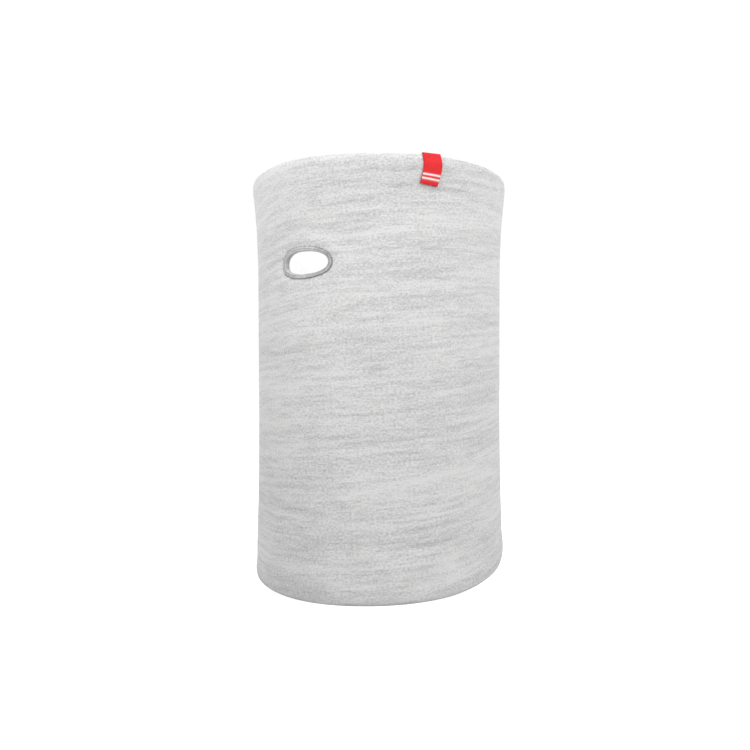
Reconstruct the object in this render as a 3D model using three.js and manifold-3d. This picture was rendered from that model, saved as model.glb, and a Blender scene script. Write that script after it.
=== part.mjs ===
// Neck gaiter with a breathing hole: a two-layer knitted tube that stands on its bottom rim.
//
// The outer shell and the inner lining are two flat panels, each wrapped into a tube and closed by a flat
// seam at the back. At both rims the panels are turned in, and an overlock band holds their raw edges
// together in the space between the layers. A bound oval hole goes through both layers at the front. A
// folded woven label is caught in the top rim and hangs down outside, and a care label is stitched to the
// lining beside the back seam.
//
// Millimetres. +Z is up, the breathing hole faces -Y, and the origin is the centre of the bottom rim's plane.

import * as THREE from "three";
import { mergeVertices } from "three/addons/utils/BufferGeometryUtils.js";
import Module from "manifold-3d";

// ---- Driving dimensions ----

const HEIGHT = 250;
const HALF_WIDTH = 75; // centre to the outside of the shell at its waist, towards either side
const HALF_DEPTH = 86.5; // the same, towards the front and the back

const TOP_FLARE = 4.3; // how far the top rim stands out past the waist
const TOP_FLARE_HEIGHT = 75;
const TOP_FLARE_POWER = 2.5;
const BOTTOM_FLARE = 1.9;
const BOTTOM_FLARE_HEIGHT = 110;
const BOTTOM_FLARE_POWER = 2;

const FABRIC = 1.2; // thickness of one layer of knit
const GAP = 0.3; // clearance between pieces that touch
const ALLOWANCE = 7; // depth of the seam allowance turned in at each rim
const ROLL_RADIUS = 0.8; // rounding of a turned edge
const LINING_EASE = 14; // height over which the lining comes back out to the shell
const OVERLOCK_HEIGHT = 0.6;

const SEAM_OPENING = 0.3; // between the butted edges of a panel
const SEAM_WIDTH = 5.5; // across the band of flat seam stitches
const SEAM_THICKNESS = 0.6;
const SEAM_END = 1.5; // where the stitches stop short of a rim

const HOLE_WIDTH = 28.5; // the opening inside its binding
const HOLE_HEIGHT = 12.5;
const HOLE_FROM_TOP = 59; // centre of the hole below the top rim
const BINDING_WIDTH = 3; // how far the binding reaches over the knit
const BINDING_CORE = 0.8; // binding inside the cut edge of the knit
const BINDING_THICKNESS = 0.6; // one lip of the binding

const LABEL_ANGLE = 53.2; // degrees from the front towards +X
const LABEL_WIDTH = 11.5;
const LABEL_DROP = 17.5; // how far the label hangs below the rim
const LABEL_THICKNESS = 0.6; // both plies of the folded label
const LABEL_ROOT_DROP = 0.4; // top of the caught tail below the rim

const CARE_REACH = 24; // loose part of the care label, from its fold to its free edge
const CARE_HEIGHT = 34;
const CARE_FROM_BOTTOM = 28;
const CARE_THICKNESS = 0.5;
const CARE_ROOT_WIDTH = 4; // the strip that is stitched down
const CARE_FROM_SEAM = 0.85; // between the seam stitches and the strip
const CARE_STITCH_WIDTH = 0.8;
const CARE_STITCH_THICKNESS = 0.3;
const CARE_FOLD_CLEARANCE = 0.1; // along the label, from the fold line to the loose part
const CARE_FOLD_RADIUS = 0.85; // from the fold line out to the label, so that it folds back over its stitches

const SEGMENTS = 48; // facets round the tube
const CORNER_STEPS = 2; // facets in a quarter turn of a rolled edge
const HOLE_STEPS = 36;

// ---- Sizes that follow from them ----

const ROLL = 2 * FABRIC + GAP; // a panel turned back on itself
const GROOVE = 2 * GAP + LABEL_THICKNESS; // between the two turned edges of a rim, where the label is caught
const LINING_RIM = ROLL + GROOVE; // depth of the lining's turned edge inside the shell's face
const LINING_BODY = FABRIC + GAP; // depth of the lining below the rims
const LINING_SHIFT = LINING_RIM + ROLL - LINING_BODY - FABRIC; // how far it moves in at a rim
const WALL = LINING_BODY + FABRIC; // both layers together, away from the rims
const EASE_START = ALLOWANCE + OVERLOCK_HEIGHT + 2 * GAP;
const EASE_END = EASE_START + LINING_EASE;
const HOLE_Z = HEIGHT - HOLE_FROM_TOP;
const LABEL_DEPTH = ROLL + GAP + LABEL_THICKNESS / 2; // middle of the label's tail inside the shell's face

// Heights at which every layer has a row of points, so that nested layers stay parallel.
const ROWS = [
  EASE_START,
  EASE_END,
  (EASE_END + BOTTOM_FLARE_HEIGHT) / 2,
  BOTTOM_FLARE_HEIGHT,
  HEIGHT - TOP_FLARE_HEIGHT,
  HEIGHT - 0.6 * TOP_FLARE_HEIGHT,
  HEIGHT - EASE_END,
  HEIGHT - EASE_START,
].sort((a, b) => a - b);

// How far the shell's face stands out past its waist at height z.
function flare(z) {
  const top = Math.max(0, 1 - (HEIGHT - Math.min(z, HEIGHT)) / TOP_FLARE_HEIGHT);
  const bottom = Math.max(0, 1 - Math.max(z, 0) / BOTTOM_FLARE_HEIGHT);
  return TOP_FLARE * top ** TOP_FLARE_POWER + BOTTOM_FLARE * bottom ** BOTTOM_FLARE_POWER;
}

// How far the lining has moved in towards its turned edge at height z.
function liningShift(z) {
  const fromRim = Math.min(z, HEIGHT - z);
  return LINING_SHIFT * THREE.MathUtils.clamp((EASE_END - fromRim) / LINING_EASE, 0, 1);
}

// A point of the tube: degrees from the front towards +X, depth inside the shell's face, height.
function tubePoint(degrees, depth, z) {
  const angle = THREE.MathUtils.degToRad(degrees);
  const out = flare(z) - depth;
  return new THREE.Vector3((HALF_WIDTH + out) * Math.sin(angle), -(HALF_DEPTH + out) * Math.cos(angle), z);
}

// ---- Solids ----

const wasm = await Module();
wasm.setup();

function toSolid(geometry) {
  const bare = geometry.clone();
  bare.deleteAttribute("normal");
  bare.deleteAttribute("uv");
  const merged = mergeVertices(bare, 1e-4);
  return new wasm.Manifold(
    new wasm.Mesh({
      numProp: 3,
      vertProperties: merged.getAttribute("position").array,
      triVerts: new Uint32Array(merged.index.array),
    }),
  );
}

function toGeometry(solid) {
  const mesh = solid.getMesh();
  const geometry = new THREE.BufferGeometry();
  geometry.setAttribute("position", new THREE.BufferAttribute(mesh.vertProperties, 3));
  geometry.setIndex(new THREE.BufferAttribute(mesh.triVerts, 1));
  geometry.computeVertexNormals();
  return geometry;
}

// Revolves a closed outline of [depth inside the shell's face, height] and stretches it into the tube's oval.
function ovalLathe(outline) {
  const points = outline.map(([depth, z]) => new THREE.Vector2(HALF_WIDTH + flare(z) - depth, z));
  const geometry = new THREE.LatheGeometry([...points, points[0]], SEGMENTS).rotateX(Math.PI / 2);
  const position = geometry.getAttribute("position");
  for (let i = 0; i < position.count; i += 1) {
    const radius = Math.hypot(position.getX(i), position.getY(i));
    position.setY(i, position.getY(i) * (1 + (HALF_DEPTH - HALF_WIDTH) / radius));
  }
  return toSolid(geometry);
}

// A quarter turn of a rolled edge about [depth, height], starting at that many degrees from outwards.
function corner(depth, z, startDegrees) {
  return Array.from({ length: CORNER_STEPS + 1 }, (_, step) => {
    const angle = THREE.MathUtils.degToRad(startDegrees + (90 * step) / CORNER_STEPS);
    return [depth - ROLL_RADIUS * Math.cos(angle), z + ROLL_RADIUS * Math.sin(angle)];
  });
}

const rolledBottomOuter = (depth) => corner(depth + ROLL_RADIUS, ROLL_RADIUS, -90);
const rolledTopOuter = (depth) => corner(depth + ROLL_RADIUS, HEIGHT - ROLL_RADIUS, 0);
const rolledTopInner = (depth) => corner(depth - ROLL_RADIUS, HEIGHT - ROLL_RADIUS, 90);
const rolledBottomInner = (depth) => corner(depth - ROLL_RADIUS, ROLL_RADIUS, 180);

// A full-height layer between two depths, each a number or a function of height.
function band(outer, inner) {
  const at = (depth, z) => (typeof depth === "function" ? depth(z) : depth);
  const heights = [0, ...ROWS, HEIGHT];
  return ovalLathe([
    ...heights.map((z) => [at(outer, z), z]),
    ...heights.toReversed().map((z) => [at(inner, z), z]),
  ]);
}

function box(low, high) {
  const size = high.map((value, i) => value - low[i]);
  const middle = high.map((value, i) => (value + low[i]) / 2);
  return toSolid(new THREE.BoxGeometry(...size).translate(...middle));
}

// An oval bar through the front wall, as large as the breathing hole and that much more all round.
function holeBar(margin) {
  const oval = new THREE.Shape().absellipse(
    0, HOLE_Z, HOLE_WIDTH / 2 + margin, HOLE_HEIGHT / 2 + margin, 0, 2 * Math.PI, false,
  );
  const options = { depth: 2 * HALF_DEPTH, bevelEnabled: false, curveSegments: HOLE_STEPS };
  return toSolid(new THREE.ExtrudeGeometry(oval, options).rotateX(Math.PI / 2));
}

const PAST = HALF_DEPTH + TOP_FLARE + BOTTOM_FLARE + 10; // a reach outside the whole object
const backSlit = () => box([-SEAM_OPENING / 2, 0, -1], [SEAM_OPENING / 2, PAST, HEIGHT + 1]);

// ---- The two layers ----

function outerShell() {
  const outline = [
    ...rolledBottomOuter(0),
    ...ROWS.map((z) => [0, z]),
    ...rolledTopOuter(0),
    ...rolledTopInner(ROLL),
    [ROLL, HEIGHT - ALLOWANCE],
    [FABRIC + GAP, HEIGHT - ALLOWANCE],
    [FABRIC + GAP, HEIGHT - FABRIC],
    [FABRIC, HEIGHT - FABRIC],
    ...ROWS.toReversed().map((z) => [FABRIC, z]),
    [FABRIC, FABRIC],
    [FABRIC + GAP, FABRIC],
    [FABRIC + GAP, ALLOWANCE],
    [ROLL, ALLOWANCE],
    ...rolledBottomInner(ROLL),
  ];
  return ovalLathe(outline).subtract(backSlit()).subtract(holeBar(BINDING_CORE + GAP));
}

function innerLining() {
  const turned = LINING_RIM + FABRIC;
  const outline = [
    ...rolledBottomOuter(LINING_RIM),
    [LINING_RIM, ALLOWANCE],
    [turned, ALLOWANCE],
    [turned, FABRIC],
    [turned + GAP, FABRIC],
    ...ROWS.map((z) => [LINING_BODY + liningShift(z), z]),
    [turned + GAP, HEIGHT - FABRIC],
    [turned, HEIGHT - FABRIC],
    [turned, HEIGHT - ALLOWANCE],
    [LINING_RIM, HEIGHT - ALLOWANCE],
    ...rolledTopOuter(LINING_RIM),
    ...rolledTopInner(LINING_RIM + ROLL),
    ...ROWS.toReversed().map((z) => [WALL + liningShift(z), z]),
    ...rolledBottomInner(LINING_RIM + ROLL),
  ];
  return ovalLathe(outline).subtract(backSlit()).subtract(holeBar(BINDING_CORE + GAP));
}

// ---- Seams ----

const seamBox = () => box([-SEAM_WIDTH / 2, 0, SEAM_END], [SEAM_WIDTH / 2, PAST, HEIGHT - SEAM_END]);

function shellSeam() {
  return band(-GAP - SEAM_THICKNESS, -GAP).intersect(seamBox());
}

function liningSeam() {
  const face = (z) => WALL + liningShift(z) + GAP;
  return band(face, (z) => face(z) + SEAM_THICKNESS).intersect(seamBox());
}

// The stitches over the raw edges of both seam allowances, between the layers.
function overlock(fromEdge) {
  const low = fromEdge(ALLOWANCE + GAP);
  const high = fromEdge(ALLOWANCE + GAP + OVERLOCK_HEIGHT);
  const [bottom, top] = [Math.min(low, high), Math.max(low, high)];
  const outer = FABRIC + GAP;
  const inner = LINING_RIM + FABRIC;
  return ovalLathe([[outer, bottom], [outer, top], [inner, top], [inner, bottom]]);
}

// ---- Binding of the breathing hole ----

// A ring that holds the cut edges of both layers in a channel, with a lip over each face.
function holeBinding() {
  const proud = GAP + BINDING_THICKNESS;
  const ring = band(-proud, WALL + proud).intersect(holeBar(BINDING_WIDTH)).subtract(holeBar(0));
  const channel = band(-GAP, WALL + GAP).subtract(holeBar(BINDING_CORE));
  return ring.subtract(channel).intersect(box([-PAST, -PAST, 0], [PAST, 0, HEIGHT]));
}

// ---- Woven label ----

// The upright plane that the label turns in: the way outwards, and the line that it is hinged on.
const labelHinge = tubePoint(LABEL_ANGLE, LABEL_DEPTH, HEIGHT).setZ(HEIGHT + GAP + LABEL_THICKNESS / 2);
const labelOut = new THREE.Vector3(
  labelHinge.x / (HALF_WIDTH + TOP_FLARE - LABEL_DEPTH) ** 2,
  labelHinge.y / (HALF_DEPTH + TOP_FLARE - LABEL_DEPTH) ** 2,
  0,
).normalize();

// An upright slice of the tube, as wide as the label.
function labelSlice() {
  const slice = new THREE.BoxGeometry(LABEL_WIDTH, 8 * ROLL, 3 * HEIGHT);
  slice.rotateZ(Math.atan2(labelOut.x, -labelOut.y)).translate(labelHinge.x, labelHinge.y, 0);
  return toSolid(slice);
}

function labelTail() {
  const outer = LABEL_DEPTH - LABEL_THICKNESS / 2;
  const inner = LABEL_DEPTH + LABEL_THICKNESS / 2;
  const bottom = HEIGHT - ALLOWANCE;
  const top = HEIGHT - LABEL_ROOT_DROP;
  return ovalLathe([[outer, bottom], [outer, top], [inner, top], [inner, bottom]]).intersect(labelSlice());
}

// The loose part: from the fold line over the shell's turned edge, then down its face.
function labelFlap() {
  const face = -GAP;
  const proud = face - LABEL_THICKNESS;
  const low = HEIGHT - LABEL_DROP;
  const seat = HEIGHT + GAP;
  const crown = seat + LABEL_THICKNESS;
  const rows = ROWS.filter((z) => z > low);
  const fold = LABEL_THICKNESS / 2; // chamfer where the label turns down
  return ovalLathe([
    [face, low],
    [proud, low],
    ...rows.map((z) => [proud, z]),
    [proud, crown - fold],
    [proud + fold, crown],
    [LABEL_DEPTH, crown],
    [LABEL_DEPTH, seat],
    [face, seat],
    ...rows.toReversed().map((z) => [face, z]),
  ]).intersect(labelSlice());
}

// ---- Care label ----

const careRootStart = SEAM_WIDTH / 2 + CARE_FROM_SEAM;
const careRootEnd = careRootStart + CARE_ROOT_WIDTH;
const careTop = CARE_FROM_BOTTOM + CARE_HEIGHT;
const careDepth = WALL + GAP + CARE_THICKNESS / 2; // middle of the label inside the shell's face

function careRoot() {
  const strip = box([careRootStart, 0, CARE_FROM_BOTTOM], [careRootEnd, PAST, careTop]);
  return band(WALL + GAP, WALL + GAP + CARE_THICKNESS).intersect(strip);
}

function careStitch() {
  const outer = WALL + 2 * GAP + CARE_THICKNESS;
  const start = careRootStart + CARE_STITCH_WIDTH;
  const low = [start, 0, CARE_FROM_BOTTOM + CARE_STITCH_WIDTH];
  const high = [start + CARE_STITCH_WIDTH, PAST, careTop - CARE_STITCH_WIDTH];
  return band(outer, outer + CARE_STITCH_THICKNESS).intersect(box(low, high));
}

// The point of the label's middle that far to the side of the back seam, at the label's top edge.
function carePoint(x) {
  const halfWidth = HALF_WIDTH + flare(careTop) - careDepth;
  return tubePoint(180 - THREE.MathUtils.radToDeg(Math.asin(x / halfWidth)), careDepth, careTop);
}

// The loose part is a flat leaf that lies along the lining and turns about an upright fold line.
const careStart = carePoint(careRootEnd + GAP);
const careAlong = carePoint(careRootEnd + GAP + CARE_REACH).sub(careStart);
const careAngle = Math.atan2(careAlong.y, careAlong.x);
const careIn = new THREE.Vector3(careAlong.y, -careAlong.x, 0).normalize();
const careHinge = careStart.clone().addScaledVector(careIn, CARE_FOLD_RADIUS);

function careLeaf() {
  const start = CARE_FOLD_CLEARANCE;
  const leaf = new THREE.BoxGeometry(CARE_REACH - start, CARE_THICKNESS, CARE_HEIGHT);
  return leaf.translate((CARE_REACH + start) / 2, CARE_FOLD_RADIUS, -CARE_HEIGHT / 2);
}

// ---- Materials ----

const cloth = (color, roughness) => new THREE.MeshStandardMaterial({ color, roughness, metalness: 0 });
const heatherKnit = cloth(0xd8d8d6, 0.95);
const brushedLining = cloth(0xf3f2ef, 0.95);
const seamThread = cloth(0xc9c9c8, 0.7);
const bindingThread = cloth(0xa5a5a8, 0.65);
const redWeave = cloth(0xe8282b, 0.6);
const whiteSatin = cloth(0xf4f4f2, 0.45);

// ---- The object ----

const gaiter = new THREE.Group();

function addPiece(name, geometry, material, parent = gaiter) {
  const mesh = new THREE.Mesh(geometry, material);
  mesh.name = name;
  parent.add(mesh);
}

addPiece("outer_shell", toGeometry(outerShell()), heatherKnit);
addPiece("inner_lining", toGeometry(innerLining()), brushedLining);
addPiece("shell_back_seam", toGeometry(shellSeam()), seamThread);
addPiece("lining_back_seam", toGeometry(liningSeam()), seamThread);
addPiece("top_rim_overlock", toGeometry(overlock((depth) => HEIGHT - depth)), seamThread);
addPiece("bottom_rim_overlock", toGeometry(overlock((depth) => depth)), seamThread);
addPiece("breathing_hole_binding", toGeometry(holeBinding()), bindingThread);
addPiece("woven_label_tail", toGeometry(labelTail()), redWeave);
addPiece("woven_label_flap", toGeometry(labelFlap()), redWeave);
addPiece("care_label_strip", toGeometry(careRoot()), whiteSatin);
addPiece("care_label_stitch", toGeometry(careStitch()), seamThread);

const careFold = new THREE.Group();
careFold.position.copy(careHinge);
careFold.rotation.z = careAngle;
addPiece("care_label_leaf", careLeaf(), whiteSatin, careFold);
gaiter.add(careFold);

export default gaiter;
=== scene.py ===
"""Neck gaiter with a breathing hole: the cloth, stitches, labels and studio, built over the CAD frame.

The layers and their threads are worked out in the frame of a round tube, or of the flat cloth round the hole.
A Tube object then places each of their points on the real one: oval, flared at both rims, rounded where the
rims turn in, puckered round the hole and slack by as much as the cloth simulation says.
"""

import math

import bmesh
import bpy
import numpy as np
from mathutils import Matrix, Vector


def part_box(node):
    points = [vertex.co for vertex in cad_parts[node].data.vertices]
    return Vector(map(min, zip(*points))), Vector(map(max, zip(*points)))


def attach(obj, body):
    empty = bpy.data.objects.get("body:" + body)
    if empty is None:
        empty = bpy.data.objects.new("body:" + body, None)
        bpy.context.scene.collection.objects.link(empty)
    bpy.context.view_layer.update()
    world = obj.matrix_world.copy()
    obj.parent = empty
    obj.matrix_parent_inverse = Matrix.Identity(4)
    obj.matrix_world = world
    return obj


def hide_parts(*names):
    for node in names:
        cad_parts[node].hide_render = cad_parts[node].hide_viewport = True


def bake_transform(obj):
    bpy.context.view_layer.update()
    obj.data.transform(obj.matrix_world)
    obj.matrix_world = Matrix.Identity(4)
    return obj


bl_info = {
    "name": "Neck Gaiter",
    "version": (1, 0, 0),
    "blender": (4, 5, 0),
    "location": "View3D > Sidebar > Gaiter",
    "description": "Dresses the frame of a neck gaiter in knit, fleece, stitches and labels",
    "category": "Add Mesh",
}

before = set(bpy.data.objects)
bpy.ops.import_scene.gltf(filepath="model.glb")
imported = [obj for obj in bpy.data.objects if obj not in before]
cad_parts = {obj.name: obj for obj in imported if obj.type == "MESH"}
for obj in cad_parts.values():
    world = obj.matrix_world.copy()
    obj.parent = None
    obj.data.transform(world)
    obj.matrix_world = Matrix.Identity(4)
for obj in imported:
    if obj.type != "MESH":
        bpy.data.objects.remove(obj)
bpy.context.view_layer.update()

MM = 0.001
ROOT = "gaiter"
SHELL_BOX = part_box("outer_shell")
BINDING_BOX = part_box("breathing_hole_binding")
FLAP_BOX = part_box("woven_label_flap")
CARE_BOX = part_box("care_label_leaf")
HEIGHT = SHELL_BOX[1].z
HALF_WIDTH = 75 * MM  # of the waist
HALF_DEPTH = 86.5 * MM
PERIMETER = math.pi * (HALF_WIDTH + HALF_DEPTH)
ALLOWANCE = 7 * MM
PLY_GAP = 0.3 * MM  # between the two layers, and between a layer and its own turned edge
LINING_GAP = 0.1 * MM  # between the turned edges of the two layers

COLUMNS = 260  # columns of faces round the tube
ROW_HEIGHT = 2.0 * MM
ROLL_STEPS = 8  # faces round a turned edge


def smoothstep(low, high, value):
    t = min(1.0, max(0.0, (value - low) / (high - low)))
    return t * t * (3 - 2 * t)


def bell(distance, width):
    return math.exp(-((distance / width) ** 2))


# ---- Sizes and colours that a user would change ----


class GaiterTubeSizes(bpy.types.PropertyGroup):
    """The tube as it stands."""

    half_width: bpy.props.FloatProperty(
        name="Half Width", description="Centre to the side of the waist", default=HALF_WIDTH, unit="LENGTH"
    )
    half_depth: bpy.props.FloatProperty(
        name="Half Depth", description="Centre to the front of the waist", default=HALF_DEPTH, unit="LENGTH"
    )
    top_flare: bpy.props.FloatProperty(
        name="Top Flare", description="How far the top rim stands out", default=4.3 * MM, unit="LENGTH"
    )
    bottom_flare: bpy.props.FloatProperty(
        name="Bottom Flare", description="How far the bottom rim stands out", default=1.9 * MM, unit="LENGTH"
    )
    rim_tuck: bpy.props.FloatProperty(
        name="Rim Tuck", description="How far a rim rounds in at its edge", default=1.3 * MM, unit="LENGTH"
    )
    rim_lift: bpy.props.FloatProperty(
        name="Rim Lift", description="How far the bottom rim lifts at a side", default=5.2 * MM, unit="LENGTH"
    )
    rim_slant: bpy.props.FloatProperty(
        name="Rim Slant", description="How far the top rim is from level", default=2.4 * MM, unit="LENGTH"
    )
    slack: bpy.props.FloatProperty(
        name="Slack", description="Share by which the cloth is longer than its rims hold it", default=0.005
    )


class GaiterClothSizes(bpy.types.PropertyGroup):
    """The layers and how they are sewn."""

    thickness: bpy.props.FloatProperty(
        name="Thickness", description="Thickness of one layer of knit", default=1.2 * MM, unit="LENGTH"
    )
    allowance: bpy.props.FloatProperty(
        name="Allowance", description="Depth of the edge turned in at a rim", default=ALLOWANCE, unit="LENGTH"
    )
    stitch: bpy.props.FloatProperty(
        name="Stitch", description="Length of one stitch of the back seam", default=2.5 * MM, unit="LENGTH"
    )
    strand: bpy.props.FloatProperty(
        name="Strand", description="Spacing of the stitches round the hole", default=0.46 * MM, unit="LENGTH"
    )


class GaiterColours(bpy.types.PropertyGroup):
    """Colours of the cloth and thread."""

    knit: bpy.props.FloatVectorProperty(
        name="Knit", description="Pale fibre of the heather", default=(0.655, 0.657, 0.652), subtype="COLOR"
    )
    knit_dark: bpy.props.FloatVectorProperty(
        name="Knit Dark", description="Grey fibre of the knit", default=(0.384, 0.387, 0.386), subtype="COLOR"
    )
    lining: bpy.props.FloatVectorProperty(
        name="Lining", description="Brushed fleece inside", default=(0.95, 0.95, 0.945), subtype="COLOR"
    )
    binding: bpy.props.FloatVectorProperty(
        name="Binding", description="Thread round the hole", default=(0.69, 0.69, 0.70), subtype="COLOR"
    )
    seam: bpy.props.FloatVectorProperty(
        name="Seam", description="Thread of the seams", default=(0.60, 0.60, 0.60), subtype="COLOR"
    )
    label: bpy.props.FloatVectorProperty(
        name="Label", description="Ground of the woven label", default=(0.71, 0.014, 0.019), subtype="COLOR"
    )
    satin: bpy.props.FloatVectorProperty(
        name="Satin", description="Care label and pale stripes", default=(0.90, 0.90, 0.88), subtype="COLOR"
    )


class GaiterStage(bpy.types.PropertyGroup):
    """Camera and light."""

    azimuth: bpy.props.FloatProperty(
        name="Azimuth", description="Camera, from the front to +X", default=math.radians(30), subtype="ANGLE"
    )
    distance: bpy.props.FloatProperty(
        name="Distance", description="Camera to the tube's axis", default=0.52, unit="LENGTH"
    )
    eye_height: bpy.props.FloatProperty(
        name="Eye Height", description="Camera above the floor", default=127.8 * MM, unit="LENGTH"
    )
    lens: bpy.props.FloatProperty(
        name="Lens", description="Focal length", default=37.95, subtype="DISTANCE_CAMERA"
    )


GROUPS = {
    "gaiter_tube": GaiterTubeSizes,
    "gaiter_cloth": GaiterClothSizes,
    "gaiter_colours": GaiterColours,
    "gaiter_stage": GaiterStage,
}


# ---- The hole ----

BINDING_WIDTH = 3 * MM  # how far the stitches reach from the opening over the cloth
FULLNESS = 2.3  # 2 for a true oval, more for one that is fuller at its corners
GROOVE = 1.25 * MM  # where a row of needle holes parts the binding's flat band from its rolled edge
CUT_EDGE = 1.1 * MM  # the cloth's cut edge, from the opening
EVENED_SHARE = 1.7  # how far out from that edge the faces are evened, as a share of its oval
EVENING_ROUNDS = 6
HELD_AROUND_HOLE = 4 * MM  # how far round the opening the cloth is held while the rest settles
FRONT = 0.8  # the cosine of the angle from the front within which the cloth lies near the hole
HOLE_CENTRE = Vector((0, (BINDING_BOX[0].z + BINDING_BOX[1].z) / 2))
HOLE_HALF = Vector(
    (
        (BINDING_BOX[1].x - BINDING_BOX[0].x) / 2 - BINDING_WIDTH,
        (BINDING_BOX[1].z - BINDING_BOX[0].z) / 2 - BINDING_WIDTH,
    )
)


def signed_power(value, power):
    return math.copysign(abs(value) ** power, value)


def hole_point(turn, outside):
    """A point of the flat cloth, that far outside the opening's edge and that turn round it."""
    cosine, sine = math.cos(turn), math.sin(turn)
    edge = Vector(
        (HOLE_HALF.x * signed_power(cosine, 2 / FULLNESS), HOLE_HALF.y * signed_power(sine, 2 / FULLNESS))
    )
    steep = 2 - 2 / FULLNESS
    normal = Vector((signed_power(cosine, steep) / HOLE_HALF.x, signed_power(sine, steep) / HOLE_HALF.y))
    return HOLE_CENTRE + edge + normal.normalized() * outside


def hole_share(across, half):
    """How far out a point is as a share of an oval like the hole, with those half sizes."""
    return (abs(across[0] / half[0]) ** FULLNESS + abs(across[1] / half[1]) ** FULLNESS) ** (1 / FULLNESS)


def oval_length(a, b):
    """The way round an oval of those two radii."""
    return math.pi * (3 * (a + b) - math.sqrt((3 * a + b) * (a + 3 * b)))


def from_hole(x, z):
    """About how far a point of the flat cloth is outside the opening's edge."""
    across = Vector((x, z)) - HOLE_CENTRE
    share = hole_share(across, HOLE_HALF)
    return across.length * (1 - 1 / share) if share > 0.001 else -HOLE_HALF.y


# ---- The tube ----

slack_field = {}  # what the cloth simulation found, kept between operators


class Tube:
    """Places points of the flat or round work on the tube as it stands."""

    TOP_FLARE_HEIGHT = 75 * MM
    BOTTOM_FLARE_HEIGHT = 110 * MM
    TUCK_HEIGHT = 7 * MM
    LEVEL_ANGLE = math.radians(28)  # where the rims are level, from the front towards +X
    LIFT_SKEW = 1.6 * MM  # how much further the bottom rim lifts at its +X side, and less at the other
    HOLE_SLOPE = -0.003  # rise of the hole's long axis towards +X
    HOLE_EGG = 0.065  # how much slimmer the hole is at its +X end than at its middle
    HOLE_LIFT = 0.45 * MM  # how far the cloth is drawn up there
    HOLE_REACH = 20 * MM  # how far round the hole that is felt
    RIM_CREST = 1.0 * MM  # how far the top rim stands up above the hole
    CREST_ANGLE = math.radians(-5)
    CREST_SPREAD = math.radians(14)
    DIP = 0.35 * MM  # where the stitches round the hole pull the cloth down
    SWELL = 0.55 * MM  # where it swells outside them
    SWELL_ABOVE = 0.6  # share of that swell that is left above the hole

    def __init__(self, context):
        self.sizes = context.scene.gaiter_tube
        self.round = (self.sizes.half_width + self.sizes.half_depth) / 2

    def out(self, z):
        """How far the shell's face stands out past the waist."""
        top = max(0.0, 1 - (HEIGHT - min(z, HEIGHT)) / self.TOP_FLARE_HEIGHT)
        bottom = max(0.0, 1 - max(z, 0.0) / self.BOTTOM_FLARE_HEIGHT)
        tuck = max(0.0, 1 - min(max(z, 0.0), HEIGHT - min(z, HEIGHT)) / self.TUCK_HEIGHT)
        flare = self.sizes.top_flare * top**2.5 + self.sizes.bottom_flare * bottom**2
        return flare - self.sizes.rim_tuck * tuck**2.2

    def pucker(self, x, z):
        """The cloth dips where the stitches round the hole pull it down, and swells outside them."""
        outside = from_hole(x, z)
        dip = self.DIP * bell(outside - 3.2 * MM, 1.3 * MM)
        swell = self.SWELL * bell(outside - 7.5 * MM, 2.8 * MM)
        below = smoothstep(6 * MM, -6 * MM, z - HOLE_CENTRE.y)
        return swell * (self.SWELL_ABOVE + (1 - self.SWELL_ABOVE) * below) - dip

    def rise(self, angle, z):
        """How much higher the cloth lies there than a level one: neither rim is cut or sits quite level."""
        across = math.sin(angle - self.LEVEL_ANGLE)
        share = min(max(z / HEIGHT, 0.0), 1.0)
        lifted = (self.sizes.rim_lift + across * self.LIFT_SKEW) * across**4
        crest = self.RIM_CREST * bell(math.remainder(angle - self.CREST_ANGLE, math.tau), self.CREST_SPREAD)
        return lifted * (1 - share) ** 2 + (self.sizes.rim_slant * across + crest) * share**2

    def hole_sway(self, x, z):
        """How the cloth is drawn up or down near the hole, which isn't quite a level oval."""
        near = bell(max(0.0, from_hole(x, z)), self.HOLE_REACH)
        above = z - HOLE_CENTRE.y
        turned = x * (self.HOLE_SLOPE - self.HOLE_EGG * above / HOLE_HALF.x)
        return near * (self.HOLE_LIFT + turned)

    def place(self, angle, depth, z):
        """From the angle round the front towards +X, the depth inside the shell's face, and the height."""
        out = self.out(z) - depth
        sine, cosine = math.sin(angle), math.cos(angle)
        level = z + self.rise(angle, z)
        if cosine > FRONT:
            x = self.sizes.half_width * sine
            out += self.pucker(x, z)
            level += self.hole_sway(x, z)
        at = Vector(((self.sizes.half_width + out) * sine, -(self.sizes.half_depth + out) * cosine, level))
        return at + slack_at(angle, z)

    def place_round(self, at):
        """From a point of the round tube that pieces are spun in."""
        return self.place(math.atan2(at.x, -at.y), self.round - math.hypot(at.x, at.y), at.z)

    def place_front(self, x, depth, z):
        """From a point of the flat cloth round the hole."""
        angle = math.asin(x / (self.sizes.half_width + self.out(z)))
        return self.place(angle, depth, z)

    def outwards(self, angle):
        """The horizontal direction straight out of the tube at an angle."""
        x, y = math.sin(angle) / self.sizes.half_width, -math.cos(angle) / self.sizes.half_depth
        return Vector((x, y, 0)).normalized()


def slack_at(angle, z):
    """The displacement that the simulation found there, or none before it has run."""
    if not slack_field:
        return Vector((0, 0, 0))
    moved = slack_field["moved"]
    columns, rows = moved.shape[:2]
    along = (angle / math.tau) % 1.0 * columns
    up = min(max(z / HEIGHT, 0.0), 1.0) * (rows - 1)
    column, row = int(along) % columns, min(int(up), rows - 2)
    beside = (column + 1) % columns
    along, up = along - int(along), up - row
    low = moved[column, row] * (1 - along) + moved[beside, row] * along
    high = moved[column, row + 1] * (1 - along) + moved[beside, row + 1] * along
    return Vector(low * (1 - up) + high * up)


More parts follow.
